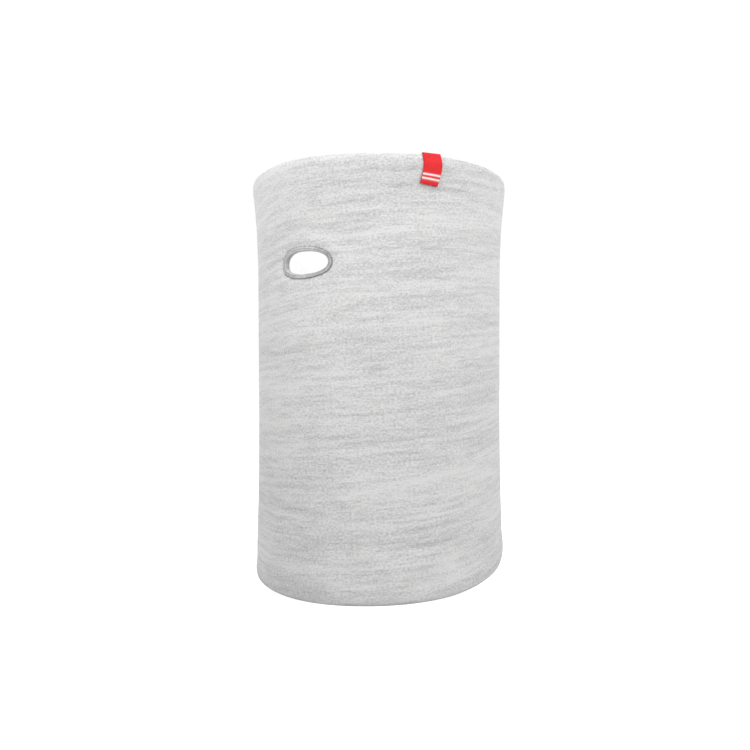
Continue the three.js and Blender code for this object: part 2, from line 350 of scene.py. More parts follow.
SLACK_COLUMNS = 120
SLACK_ROWS = 61
ROUGHNESS = 0.25 * MM  # how uneven the cloth is before it settles
SETTLING_FRAMES = 35
CLOTH_SETTINGS = {
    "quality": 6,
    "mass": 0.15,
    "tension_stiffness": 25,
    "compression_stiffness": 25,
    "shear_stiffness": 8,
    "bending_stiffness": 2.5,
}


def simulate_slack(tube, share):
    """Lets a plain tube of cloth, a little too large for the rims and the hole that hold it, settle."""
    work = bmesh.new()
    step = HEIGHT / (SLACK_ROWS - 1)
    spine, edges = add_line(work, [(0, -tube.round, step * row) for row in range(SLACK_ROWS)])
    spin(work, spine + edges, (0, 0, 1), SLACK_COLUMNS)
    random = np.random.default_rng(7)
    held, keys = [], []
    for index, vert in enumerate(work.verts):
        angle, z = math.atan2(vert.co.x, -vert.co.y), vert.co.z
        column = round((angle / math.tau) % 1.0 * SLACK_COLUMNS) % SLACK_COLUMNS
        keys.append((column, round(z / step)))
        at = tube.place_round(vert.co)
        front = math.cos(angle) > FRONT
        near_hole = front and from_hole(tube.sizes.half_width * math.sin(angle), z) < HELD_AROUND_HOLE
        if min(z, HEIGHT - z) < 1.5 * step or near_hole:
            held.append(index)
        else:
            at += tube.outwards(angle) * float(random.normal(0, ROUGHNESS))
        vert.co = at
    start = np.array([vert.co for vert in work.verts])
    end = settle_cloth(work, held, share)
    moved = np.zeros((SLACK_COLUMNS, SLACK_ROWS, 3))
    for key, before, after in zip(keys, start, end):
        moved[key] = after - before
    turns = [math.tau * column / SLACK_COLUMNS for column in range(SLACK_COLUMNS)]
    return settled(moved, np.array([tube.outwards(turn) for turn in turns]))


def settle_cloth(work, held, share):
    """Runs the cloth simulation on a mesh, and returns where its vertices end up."""
    mesh = bpy.data.meshes.new("slack_work")
    work.to_mesh(mesh)
    work.free()
    cloth_object = bpy.data.objects.new("slack_work", mesh)
    bpy.context.collection.objects.link(cloth_object)
    group = cloth_object.vertex_groups.new(name="held")
    group.add(held, 1.0, "REPLACE")
    modifier = cloth_object.modifiers.new("Cloth", "CLOTH")
    for setting, value in CLOTH_SETTINGS.items():
        setattr(modifier.settings, setting, value)
    modifier.settings.shrink_min = -share
    modifier.settings.vertex_group_mass = "held"
    modifier.settings.effector_weights.gravity = 0.5
    modifier.collision_settings.use_collision = False
    modifier.point_cache.frame_end = SETTLING_FRAMES + 5
    scene = bpy.context.scene
    for frame_number in range(1, SETTLING_FRAMES + 1):
        scene.frame_set(frame_number)
    evaluated = cloth_object.evaluated_get(bpy.context.evaluated_depsgraph_get())
    result = evaluated.to_mesh()
    end = np.zeros(len(result.vertices) * 3)
    result.vertices.foreach_get("co", end)
    evaluated.to_mesh_clear()
    scene.frame_set(1)
    bpy.data.objects.remove(cloth_object)
    bpy.data.meshes.remove(mesh)
    return end.reshape(-1, 3)


def settled(moved, outwards, most=1.1 * MM, rounds=3):
    """The moves smoothed between neighbours and softly capped, with no row grown or shrunk as a whole."""
    for _ in range(rounds):
        beside = (np.roll(moved, 1, 0) + np.roll(moved, -1, 0)) / 2
        above = np.concatenate([moved[:, :1], (moved[:, :-2] + moved[:, 2:]) / 2, moved[:, -1:]], axis=1)
        moved = 0.5 * moved + 0.25 * beside + 0.25 * above
    swell = np.einsum("crk,ck->cr", moved, outwards).mean(axis=0)
    held = np.linalg.norm(moved, axis=2) > 0
    moved = moved - held[:, :, None] * swell[None, :, None] * outwards[:, None, :]
    return moved * most / np.sqrt(most**2 + (moved**2).sum(axis=2, keepdims=True))


# ---- Mesh helpers ----


def add_object(work, name, material):
    """A bmesh made into a smooth object, with its place in its mesh."""
    mesh = bpy.data.meshes.new(name)
    work.to_mesh(mesh)
    work.free()
    for polygon in mesh.polygons:
        polygon.use_smooth = True
    mesh.materials.append(material)
    piece = bpy.data.objects.new(name, mesh)
    bpy.context.collection.objects.link(piece)
    return piece


def thicken(piece, thickness):
    """Gives a sheet its thickness, half to each side."""
    modifier = piece.modifiers.new("Solidify", "SOLIDIFY")
    modifier.thickness = thickness
    modifier.offset = 0
    modifier.use_even_offset = True
    modifier.use_rim = True
    evaluated = piece.evaluated_get(bpy.context.evaluated_depsgraph_get())
    mesh = bpy.data.meshes.new_from_object(evaluated)
    piece.modifiers.clear()
    old = piece.data
    piece.data = mesh
    bpy.data.meshes.remove(old)
    mesh.name = piece.name


def join(*pieces):
    """Puts the meshes of pieces together in the last one, and removes the others."""
    joined = bmesh.new()
    for piece in pieces:
        joined.from_mesh(piece.data)
    joined.to_mesh(pieces[-1].data)
    joined.free()
    for piece in pieces[:-1]:
        bpy.data.objects.remove(piece)


def arc(centre, radius, start, end, steps):
    """Points of a round bend, [depth, height], between two angles in degrees."""
    turns = [math.radians(start + (end - start) * step / steps) for step in range(steps + 1)]
    return [(centre[0] + radius * math.cos(turn), centre[1] + radius * math.sin(turn)) for turn in turns]


def add_line(work, points, closed=False):
    """Vertices at the points, and the edges that join them in a row or a ring."""
    verts = [work.verts.new(point) for point in points]
    following = verts[1:] + verts[:1] if closed else verts[1:]
    edges = [work.edges.new(pair) for pair in zip(verts, following)]
    return verts, edges


def measure(verts, layer):
    """Gives each vertex of a line its distance along the line, and returns the line's length."""
    reach = 0.0
    for before, vert in zip([verts[0]] + verts, verts):
        reach += (vert.co - before.co).length
        vert[layer] = reach
    return reach


def spin(work, geometry, axis, steps):
    """Carries a line right round an axis through the origin."""
    bmesh.ops.spin(
        work, geom=geometry, axis=axis, cent=(0, 0, 0), angle=math.tau, steps=steps, use_merge=True
    )


def draw_out(work, geometry, step, count):
    """Extrudes a line into a sheet of that many strips, each a step further."""
    for _ in range(count):
        edges = [item for item in geometry if isinstance(item, bmesh.types.BMEdge)]
        geometry = bmesh.ops.extrude_edge_only(work, edges=edges)["geom"]
        for item in geometry:
            if isinstance(item, bmesh.types.BMVert):
                item.co += step


def keep_flat(work, flat):
    """Keeps a sheet's flat place, which flat gives for each vertex, as its UV map."""
    uv = work.loops.layers.uv.new("Cloth")
    for face in work.faces:
        for loop in face.loops:
            loop[uv].uv = flat(loop.vert)


def spun_sheet(tube, profile):
    """Spins a profile of (depth, height) round the tube, with its flat place kept as a UV map."""
    work = bmesh.new()
    along = work.verts.layers.float.new("along")
    spine, edges = add_line(work, [(0, tube.round - depth, z) for depth, z in profile])
    measure(spine, along)
    spin(work, spine + edges, (0, 0, 1), COLUMNS)
    bmesh.ops.recalc_face_normals(work, faces=work.faces)
    uv = work.loops.layers.uv.new("Cloth")
    for face in work.faces:
        middle = face.calc_center_median()
        facing = math.atan2(middle.x, -middle.y)
        for loop in face.loops:
            turn = math.atan2(loop.vert.co.x, -loop.vert.co.y)
            if abs(turn - facing) > math.pi:
                turn += math.copysign(math.tau, facing)
            loop[uv].uv = (0.5 + turn / math.tau, loop.vert[along])
    return work


def cut_hole(work, tube):
    """Takes out the faces inside the cut edge of the hole and draws the edge round."""
    half = HOLE_HALF + Vector((CUT_EDGE, CUT_EDGE))

    def share(at):
        return hole_share((at.x - HOLE_CENTRE.x, at.z - HOLE_CENTRE.y), half) if at.y < 0 else math.inf

    for vert in work.verts:
        if vert.co.y < 0:
            vert.co.x *= tube.sizes.half_width / tube.round
    gone = [face for face in work.faces if share(face.calc_center_median()) < 1]
    bmesh.ops.delete(work, geom=gone, context="FACES")
    around = [vert for vert in work.verts if share(vert.co) < EVENED_SHARE]
    for vert in around:
        if vert.is_boundary:
            size = share(vert.co)
            vert.co.x = HOLE_CENTRE.x + (vert.co.x - HOLE_CENTRE.x) / size
            vert.co.z = HOLE_CENTRE.y + (vert.co.z - HOLE_CENTRE.y) / size
    near = [vert for vert in around if not vert.is_boundary]
    for _ in range(EVENING_ROUNDS):
        bmesh.ops.smooth_vert(work, verts=near, factor=0.5, use_axis_x=True, use_axis_z=True)
    for vert in work.verts:
        if vert.co.y < 0:
            vert.co.x *= tube.round / tube.sizes.half_width


def bend(work, place):
    """Moves each vertex to where place puts it."""
    for vert in work.verts:
        vert.co = place(vert.co)


def threads(name, paths, radius, material, place, closed=False, sides=6, shade=None):
    """Round threads along paths, worked in the frame that place reads, as one object.
    shade gives each point, in that frame, a value from 0 to 1 that the material reads as "Shade"."""
    curve = bpy.data.curves.new(name, "CURVE")
    curve.dimensions = "3D"
    curve.bevel_depth = radius
    curve.bevel_resolution = (sides - 4) // 2
    curve.use_fill_caps = not closed
    for path in paths:
        spline = curve.splines.new("POLY")
        spline.points.add(len(path) - 1)
        for point, at in zip(spline.points, path):
            point.co = (*at, 1)
        spline.use_cyclic_u = closed
    holder = bpy.data.objects.new(name, curve)
    bpy.context.collection.objects.link(holder)
    mesh = bpy.data.meshes.new_from_object(holder.evaluated_get(bpy.context.evaluated_depsgraph_get()))
    bpy.data.objects.remove(holder)
    bpy.data.curves.remove(curve)
    work = bmesh.new()
    work.from_mesh(mesh)
    bpy.data.meshes.remove(mesh)
    if shade:
        layer = work.verts.layers.float.new("Shade")
        for vert in work.verts:
            vert[layer] = shade(vert.co)
    bend(work, place)
    bmesh.ops.recalc_face_normals(work, faces=work.faces)
    return add_object(work, name, material)


# ---- Shader helpers ----


class Value:
    """A number socket in a material, for sums in plain Python."""

    def __init__(self, surface, socket):
        self.surface = surface
        self.socket = socket

    def math(self, operation, *others):
        inputs = dict(enumerate((self, *others)))
        return self.surface.node("ShaderNodeMath", {"operation": operation}, inputs)

    def __add__(self, other):
        return self.math("ADD", other)

    def __sub__(self, other):
        return self.math("SUBTRACT", other)

    def __mul__(self, other):
        return self.math("MULTIPLY", other)

    __radd__ = __add__
    __rmul__ = __mul__

    def __rsub__(self, other):
        return (self * -1) + other

    def clamp(self):
        return self.math("MINIMUM", 1.0).math("MAXIMUM", 0.0)


class Nodes:
    """A node tree, built by code."""

    def __init__(self, tree):
        self.tree = tree

    def node(self, kind, settings=None, inputs=None, output=0):
        """Adds a node, sets it up, feeds its sockets and gives back one output."""
        made = self.tree.nodes.new(kind)
        for setting, value in (settings or {}).items():
            setattr(made, setting, value)
        for socket, value in (inputs or {}).items():
            self.feed(made.inputs[socket], value)
        return Value(self, made.outputs[output])

    def feed(self, socket, value):
        if isinstance(value, Value):
            self.tree.links.new(value.socket, socket)
        elif socket.type == "RGBA":
            socket.default_value = (*value, 1)
        else:
            socket.default_value = value


class Surface(Nodes):
    """A material of one Principled shader."""

    def __init__(self, name, **constants):
        self.material = bpy.data.materials.new(name)
        self.material.use_nodes = True
        super().__init__(self.material.node_tree)
        self.shader = self.tree.nodes["Principled BSDF"]
        self.set(**constants)

    def set(self, **signals):
        for socket, value in signals.items():
            self.feed(self.shader.inputs[socket.replace("_", " ")], value)
        return self.material

    def stretched(self, at, scale, turn=0.0):
        inputs = {"Vector": at, "Scale": scale, "Rotation": (0, 0, turn)}
        return self.node("ShaderNodeMapping", {}, inputs)

    def noise(self, at, lumps, detail, roughness=0.5, distortion=0.0):
        """Noise with about that many lumps to the metre along each axis."""
        inputs = {"Vector": self.stretched(at, lumps), "Scale": 1.0, "Detail": detail}
        inputs |= {"Roughness": roughness, "Distortion": distortion}
        return self.node("ShaderNodeTexNoise", {"noise_dimensions": "3D"}, inputs)

    def bands(self, direction, inputs):
        settings = {"wave_type": "BANDS", "bands_direction": direction, "wave_profile": "SIN"}
        return self.node("ShaderNodeTexWave", settings, inputs)

    def mix(self, factor, first, second):
        settings = {"data_type": "RGBA"}
        return self.node("ShaderNodeMix", settings, {0: factor, 6: first, 7: second}, output=2)

    def bump(self, height, strength, distance):
        inputs = {"Height": height, "Strength": strength, "Distance": distance}
        return self.node("ShaderNodeBump", {}, inputs)

    def uv(self, name):
        return self.node("ShaderNodeUVMap", {"uv_map": name})

    def attribute(self, name):
        """A number that each vertex carries."""
        return self.node("ShaderNodeAttribute", {"attribute_name": name}, output=2)


COURSE_SKEW = math.radians(-3.5)  # how far the knit's courses lean from level
MIDDLE_COURSE = HEIGHT / 2 + ALLOWANCE  # half-way up the cloth, from the raw edge inside a rim
FOLD_START = 2.2 * MM  # how far below its fold the knit starts to look smoother and to be painted greyer
FOLD_FADE = 1.5 * MM
HEATHER_GREY = 0.31  # share of grey fibre where every noise is at its middle


def darker(colour, share):
    return tuple(channel * share for channel in colour)


def flat_cloth(surface):
    """The cloth's own flat coordinates, in metres, from its UV map."""
    return surface.stretched(surface.uv("Cloth"), (PERIMETER, 1, 1))


def heather_knit(colours):
    """Pale and grey fibres spun together: long streaks along the courses, and a fine grain over them."""
    surface = Surface("heather_knit", Roughness=0.92, Specular_IOR_Level=0.2)
    surface.set(Sheen_Weight=0.25, Sheen_Roughness=0.6)
    flat = flat_cloth(surface)
    height_up = surface.node("ShaderNodeSeparateXYZ", {}, {"Vector": flat}, output=1)
    from_middle = (height_up - MIDDLE_COURSE).math("ABSOLUTE")
    fold = ((from_middle - (HEIGHT / 2 - FOLD_START)) * (1 / FOLD_FADE)).clamp()
    cloth = surface.stretched(flat, (1, 1, 1), COURSE_SKEW)
    broad = surface.noise(cloth, (7, 65, 1), 3.0, 0.55)
    streaks = surface.noise(cloth, (22, 330, 1), 3.0, 0.6)
    mottle = surface.noise(cloth, (100, 420, 1), 2.0)
    grain = surface.noise(cloth, (640, 940, 1), 2.0, 0.6)
    fuzz = surface.noise(cloth, (1500, 1500, 1), 2.0, 0.7)
    grey = (broad - 0.5) + (streaks - 0.5) * 1.3 + (mottle - 0.5) * 0.8 + HEATHER_GREY
    # Painted shade: near each rim's fold the knit is painted greyer, toning down the light that falls on the
    # rounded top rim. Its grain is calmed there too.
    grey = grey + (grain - 0.5) * (2.15 - fold * 1.6) + fold * 0.32
    colour = surface.mix(grey.clamp(), tuple(colours.knit), tuple(colours.knit_dark))
    courses = {"Vector": cloth, "Scale": 330.0, "Distortion": 1.2, "Detail": 2.0, "Detail Scale": 0.6}
    rows = surface.bands("Y", courses)
    height = (grain * 0.6 + fuzz * 0.25 + rows * 0.18) * (1.0 - fold * 0.7) + streaks * 0.5
    return surface.set(Base_Color=colour, Normal=surface.bump(height, 0.22, 0.5 * MM))


def brushed_fleece(colours):
    """Soft, clumped pile, almost white."""
    surface = Surface("brushed_fleece", Roughness=0.95, Specular_IOR_Level=0.15)
    surface.set(Sheen_Weight=0.5, Sheen_Roughness=0.5)
    cloth = flat_cloth(surface)
    clumps = surface.noise(cloth, (230, 230, 1), 3.0, 0.65, 0.6)
    pile = surface.noise(cloth, (1100, 900, 1), 2.0, 0.6)
    shade = (0.62 - clumps) * 0.9 + (0.5 - pile) * 0.4
    colour = surface.mix(shade.clamp(), tuple(colours.lining), darker(colours.lining, 0.82))
    return surface.set(Base_Color=colour, Normal=surface.bump(clumps + pile * 0.4, 0.7, 0.8 * MM))


def thread_material(name, colour, shade_and_tone_share=0.45):
    """Twisted thread: fine slanting plies and a slight sheen, with painted shade from the Shade attribute
    where it dips into the cloth.
    """
    surface = Surface(name, Roughness=0.62, Sheen_Weight=0.3, Sheen_Roughness=0.4, Specular_IOR_Level=0.35)
    place = surface.node("ShaderNodeTexCoord", output=3)
    plies = surface.noise(place, (5200, 5200, 5200), 1.0)
    lots = surface.noise(place, (420, 420, 420), 2.0)
    # Painted shade: the Shade attribute darkens the thread where it dips into the cloth. The two noises are
    # the thread's own tone.
    dip = surface.attribute("Shade")
    dark = (plies - 0.5) * 0.7 + (lots - 0.5) * 0.6 + dip * 0.75 + 0.12
    shade = surface.mix(dark.clamp(), tuple(colour), darker(colour, shade_and_tone_share))
    return surface.set(Base_Color=shade, Normal=surface.bump(plies, 0.4, 0.1 * MM))


def woven_label_material(colours):
    """Red damask weave with close ribs across it, and two plain pale stripes near the fold."""
    surface = Surface("red_weave", Roughness=0.6, Specular_IOR_Level=0.22)
    surface.set(Sheen_Weight=0.08, Sheen_Roughness=0.35)
    place = surface.uv("Cloth")
    ribs = surface.bands("Y", {"Vector": place, "Scale": 760.0, "Distortion": 0.4})
    picks = surface.bands("X", {"Vector": place, "Scale": 900.0, "Distortion": 0.4})
    wear = surface.noise(place, (300, 420, 1), 3.0)
    red = tuple(colours.label)
    worn = (red[0] * 0.72, red[1] * 0.8, red[2] * 0.8)
    ground = surface.mix(((wear - 0.5) * 1.2 + ribs * 0.25 + 0.1).clamp(), red, worn)
    colour = surface.mix(surface.attribute("Stripe"), ground, tuple(colours.satin))
    height = ribs * 0.6 + picks * 0.4
    return surface.set(Base_Color=colour, Normal=surface.bump(height, 0.45, 0.12 * MM))


def satin_material(colours):
    """White satin ribbon with fine floats along it."""
    surface = Surface("white_satin", Roughness=0.38, Sheen_Weight=0.15, Specular_IOR_Level=0.45)
    place = surface.uv("Cloth")
    floats = surface.noise(place, (420, 5200, 1), 1.0)
    cloudy = surface.noise(place, (90, 90, 1), 2.0)
    shade = (0.6 - floats) * 0.5 + (0.55 - cloudy) * 0.5
    colour = surface.mix(shade.clamp(), tuple(colours.satin), darker(colours.satin, 0.8))
    return surface.set(Base_Color=colour, Normal=surface.bump(floats, 0.25, 0.08 * MM))


# ---- The two layers ----

LINING_EASE = 24 * MM  # how far from a rim the lining comes to lie flat on the shell


def wall_depth(cloth):
    """The depth of the lining's inner face, away from the rims."""
    return 2 * cloth.thickness + PLY_GAP


def rim_easing(z, reach):
    """1 at a rim, and 0 once that far from it."""
    return 1 - smoothstep(6 * MM, reach, min(z, HEIGHT - z))


def lining_depth(cloth, z):
    """The depth of the lining's middle: further in near the rims, where the turned edges lie between."""
    body = 1.5 * cloth.thickness + PLY_GAP
    rim = 3.5 * cloth.thickness + 2 * PLY_GAP + LINING_GAP
    return body + (rim - body) * rim_easing(z, LINING_EASE)


def body_rows(low, high):
    count = max(2, round((high - low) / ROW_HEIGHT))
    return [low + (high - low) * step / count for step in range(1, count)]


def turned_profile(cloth, face, back):
    """A layer's middle line as (depth, height), turned back on itself at both rims. face gives the depth of
    the side that shows at a height, and back is that of the turned edge."""
    shown = face(0.0)
    radius = abs(back - shown) / 2
    centre = (shown + back) / 2
    crest = radius + cloth.thickness / 2
    start, end = (0, -180) if back > shown else (180, 360)
    edge = cloth.allowance
    raised = [edge - (edge - crest) * step / 3 for step in range(3)]
    bottom = [(back, z) for z in raised] + arc((centre, crest), radius, start, end, ROLL_STEPS)
    top = [(depth, HEIGHT - z) for depth, z in reversed(bottom)]
    return bottom + [(face(z), z) for z in body_rows(crest, HEIGHT - crest)] + top


class GAITER_OT_slack(bpy.types.Operator):
    """Simulate how the slack cloth settles between its rims and its hole"""

    bl_idname = "gaiter.slack"
    bl_label = "Settle the Cloth"

    def execute(self, context):
        slack_field.clear()
        tube = Tube(context)
        slack_field["moved"] = simulate_slack(tube, context.scene.gaiter_tube.slack)
        return {"FINISHED"}


class GAITER_OT_shell(bpy.types.Operator):
    """Make the outer layer: heather knit, turned in at both rims"""

    bl_idname = "gaiter.shell"
    bl_label = "Outer Shell"

    def execute(self, context):
        tube, cloth = Tube(context), context.scene.gaiter_cloth
        middle = cloth.thickness / 2
        work = spun_sheet(tube, turned_profile(cloth, lambda z: middle, middle + cloth.thickness + PLY_GAP))
        cut_hole(work, tube)
        bend(work, tube.place_round)
        shell = add_object(work, "knit_shell", heather_knit(context.scene.gaiter_colours))
        thicken(shell, cloth.thickness)
        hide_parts("outer_shell")
        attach(shell, ROOT)
        return {"FINISHED"}


class GAITER_OT_lining(bpy.types.Operator):
    """Make the inner layer: brushed fleece, turned the other way at both rims"""

    bl_idname = "gaiter.lining"
    bl_label = "Inner Lining"

    def execute(self, context):
        tube, cloth = Tube(context), context.scene.gaiter_cloth
        back = wall_depth(cloth) + LINING_GAP + cloth.thickness / 2
        work = spun_sheet(tube, turned_profile(cloth, lambda z: lining_depth(cloth, z), back))
        cut_hole(work, tube)
        self.make_room(work, tube)
        bend(work, tube.place_round)
        lining = add_object(work, "fleece_lining", brushed_fleece(context.scene.gaiter_colours))
        thicken(lining, cloth.thickness)
        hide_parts("inner_lining")
        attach(lining, ROOT)
        return {"FINISHED"}

    @staticmethod
    def make_room(work, tube):
        """Moves the lining in where the woven label's tail lies between the layers."""
        label_angle = label_place(tube)[0]
        for vert in work.verts:
            angle = math.atan2(vert.co.x, -vert.co.y)
            near = bell((angle - label_angle) * tube.round, 11 * MM) * rim_easing(vert.co.z, 20 * MM)
            shrink = 1 - near * LABEL_THICKNESS / tube.round
            vert.co.x *= shrink
            vert.co.y *= shrink


# ---- Seams ----

SEAM_HALF = 2.3 * MM  # from the middle of a back seam to its rows of stitches
SEAM_END = 2.2 * MM  # how far from a rim it starts
SEAM_ARCH = ((0.04, 0.02), (0.2, 0.34), (0.5, 0.44), (0.8, 0.34), (0.96, 0.02))
LACING_POINTS = 8
OVERLOCK_TURNS = 180
OVERLOCK_POINTS = 8


def arched_stitch(x, depth, z, length, arch):
    """One stitch of a row that runs up. arch pairs shares of its length with how many mm it stands off."""
    return [(x, depth + off * MM, z + length * share) for share, off in arch]


def seam_threads(context, name, node, depth, side):
    """A flat seam down the back: a thread laced from side to side over the butted edges, between two rows of
    stitches. depth gives the depth of the cloth's face at a height, and side is -1 where that faces out."""
    tube, stitch = Tube(context), context.scene.gaiter_cloth.stitch
    count = round((HEIGHT - 2 * SEAM_END) / stitch)
    pitch = (HEIGHT - 2 * SEAM_END) / count
    lacing = []
    for index in range(count * LACING_POINTS + 1):
        turn = index / LACING_POINTS
        across = SEAM_HALF * signed_power(math.sin(math.tau * turn), 0.6)
        lacing.append((across, 0.22 * MM, SEAM_END + pitch * turn))
    rows = [
        arched_stitch(across, 0.0, SEAM_END + pitch * index, pitch, SEAM_ARCH)
        for across in (-SEAM_HALF, SEAM_HALF)
        for index in range(count)
    ]

    def place(at):
        angle = math.pi + at.x / tube.sizes.half_width
        return tube.place(angle, depth(at.z) + side * at.y, at.z)

    material = thread_material(name + "_thread", context.scene.gaiter_colours.seam)
    beside = threads(name + "_rows", rows, 0.2 * MM, material, place)
    made = threads(name, [lacing], 0.19 * MM, material, place)
    join(beside, made)
    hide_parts(node)
    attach(made, ROOT)


class GAITER_OT_seams(bpy.types.Operator):
    """Stitch the back seams of both layers"""

    bl_idname = "gaiter.seams"
    bl_label = "Back Seams"

    def execute(self, context):
        cloth = context.scene.gaiter_cloth

        def lining_face(z):
            return lining_depth(cloth, z) + cloth.thickness / 2

        seam_threads(context, "shell_seam_stitches", "shell_back_seam", lambda z: 0.0, -1)
        seam_threads(context, "lining_seam_stitches", "lining_back_seam", lining_face, 1)
        return {"FINISHED"}


class GAITER_OT_overlock(bpy.types.Operator):
    """Whip the raw edges of both layers together inside each rim"""

    bl_idname = "gaiter.overlock"
    bl_label = "Rim Overlock"

    def execute(self, context):
        tube, cloth = Tube(context), context.scene.gaiter_cloth
        material = thread_material("overlock_thread", context.scene.gaiter_colours.seam)
        middle = wall_depth(cloth) + LINING_GAP / 2
        reach = cloth.thickness + 0.12 * MM
        count = OVERLOCK_TURNS * OVERLOCK_POINTS
        for name, node, rim, inwards in (
            ("top_overlock_stitches", "top_rim_overlock", HEIGHT, -1),
            ("bottom_overlock_stitches", "bottom_rim_overlock", 0.0, 1),
        ):
            path = []
            for index in range(count):
                turn = math.tau * index / OVERLOCK_POINTS
                angle = math.tau * index / count
                radius = tube.round - (middle + reach * math.cos(turn))
                rise = cloth.allowance - 0.6 * MM + 1.4 * MM * math.sin(turn)
                path.append((radius * math.sin(angle), -radius * math.cos(angle), rim + inwards * rise))
            made = threads(name, [path], 0.11 * MM, material, tube.place_round, closed=True, sides=4)
            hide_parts(node)
            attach(made, ROOT)
        return {"FINISHED"}


# ---- Binding of the hole ----

STRAND_LEAN = 0.35 * MM  # how far a stitch slants from its front to its back
STRAND_RADIUS = 0.24 * MM
STRAND_LIFT = 0.52 * MM  # how far a stitch stands off the cloth
CORE_LIFT = 0.3 * MM
CORE_STEPS = 96


def binding_section(wall, lift):
    """The way a stitch takes round the cut edge: (outside the opening, depth inside the shell's face).
    lift is how far it stands off the cloth."""
    front = [
        (BINDING_WIDTH, 0.1 * MM),
        (BINDING_WIDTH - 0.2 * MM, -0.7 * lift),
        (BINDING_WIDTH * 0.72, -lift),
        (GROOVE + 0.3 * MM, -0.85 * lift),
        (GROOVE, -0.3 * lift),
        (GROOVE - 0.35 * MM, -0.75 * lift),
        (0.55 * MM, -0.1 * lift),
        (0.36 * MM, 0.55 * MM),
    ]
    back = [(outside, wall - depth) for outside, depth in reversed(front)]
    return front + [(0.28 * MM, wall / 2)] + back


class GAITER_OT_binding(bpy.types.Operator):
    """Bind the hole with close satin stitches over a padded edge"""

    bl_idname = "gaiter.binding"
    bl_label = "Hole Binding"

    def execute(self, context):
        tube, cloth = Tube(context), context.scene.gaiter_cloth
        wall = wall_depth(cloth)
        material = thread_material("binding_thread", context.scene.gaiter_colours.binding, shade_and_tone_share=0.3)
        around = HOLE_HALF.length / math.sqrt(2) + BINDING_WIDTH / 2

        def place(at):
            flat = hole_point(at.x / around, at.y)
            return tube.place_front(flat.x, at.z, flat.y)

        # Painted shade on the stitches, from 0 to 1: darkest at their outer ends where they sink into the
        # cloth, along the groove of needle holes, and over the lower part of the hole. The dark outer band
        # reaches further in at the top, and the groove is fainter below.
        def shade(at):
            below = smoothstep(-0.25, -0.85, math.sin(at.x / around))
            start = BINDING_WIDTH - (0.95 - 0.15 * below) * MM
            edge_shade = smoothstep(start, start + 0.3 * MM, at.y)
            groove_shade = bell(at.y - GROOVE, 0.22 * MM) * (0.75 - 0.45 * below)
            return min(1.0, max(edge_shade, groove_shade) + 0.35 * below)

        core = self.core(tube, wall, material)
        paths = self.strand_paths(wall, cloth.strand, around)
        strands = threads("binding_stitches", paths, STRAND_RADIUS, material, place, shade=shade)
        join(core, strands)
        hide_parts("breathing_hole_binding")
        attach(strands, ROOT)
        return {"FINISHED"}

    def strand_paths(self, wall, spacing, around):
        """The stitches as (turn, outside, depth), the turn scaled so that a strand stays about round."""
        middle = HOLE_HALF + Vector((1, 1)) * BINDING_WIDTH / 2
        count = round(oval_length(middle.x, middle.y) / spacing)
        lean = STRAND_LEAN / middle.x
        random = np.random.default_rng(11)
        paths = []
        for turn in self.even_turns(count):
            ragged = float(random.uniform(-0.22, 0.18)) * MM
            lift = STRAND_LIFT + float(random.uniform(-0.05, 0.05)) * MM
            section = binding_section(wall, lift)
            path = []
            for step, (outside, depth) in enumerate(section):
                share = step / (len(section) - 1)
                reach = outside + ragged * smoothstep(1.5 * MM, BINDING_WIDTH, outside)
                path.append(((turn + lean * (share - 0.5)) * around, reach, depth))
            paths.append(path)
        return paths

    @staticmethod
    def even_turns(count):
        """Turns round the opening at which the stitches are evenly spaced along its edge."""
        fine = 2000
        turns = [math.tau * index / fine for index in range(fine + 1)]
        points = [hole_point(turn, BINDING_WIDTH / 2) for turn in turns]
        reach = np.concatenate([[0], np.cumsum([(b - a).length for a, b in zip(points, points[1:])])])
        wanted = np.arange(count) / count * reach[-1]
        return [float(turn) for turn in np.interp(wanted, reach, turns)]

    @staticmethod
    def core(tube, wall, material):
        """The padded edge under the stitches, spun round and drawn into the oval."""
        work = bmesh.new()
        layer = work.verts.layers.float.new("Shade")
        radius = 10 * MM
        points = [(radius + outside, depth, 0) for outside, depth in binding_section(wall, CORE_LIFT)]
        spine, edges = add_line(work, points, closed=True)
        spin(work, spine + edges, (0, 1, 0), CORE_STEPS)
        for vert in work.verts:
            outside = math.hypot(vert.co.x, vert.co.z) - radius
            flat = hole_point(math.atan2(vert.co.z, vert.co.x), outside)
            # Painted shade: the padded edge under the stitches is painted fully shaded.
            vert[layer] = 1.0
            vert.co = tube.place_front(flat.x, vert.co.y, flat.y)
        bmesh.ops.recalc_face_normals(work, faces=work.faces)
        return add_object(work, "binding_core", material)


# ---- Woven label ----

LABEL_THICKNESS = 0.6 * MM
LABEL_PLY = 0.26 * MM
LABEL_WIDTH = 11.5 * MM
LABEL_HANG = HEIGHT - FLAP_BOX[0].z
LABEL_DEPTH = 3.3 * MM  # where its tail goes down between the turned edges
LABEL_SEAT = 0.75 * MM  # how high it crosses above the rim
LABEL_OUT = 0.6 * MM  # how far its hanging part lies outside the shell's face
LABEL_COLUMNS = 14
LABEL_STRIPES = (11.6 * MM, 13.9 * MM)  # the middles of the stripes, below the rim
STRIPE_HALF = 0.55 * MM


def label_place(tube):
    """The label's angle round the tube and the way it faces."""
    middle = (FLAP_BOX[0] + FLAP_BOX[1]) / 2
    angle = math.atan2(middle.x / tube.sizes.half_width, -middle.y / tube.sizes.half_depth)
    return angle, tube.outwards(angle)


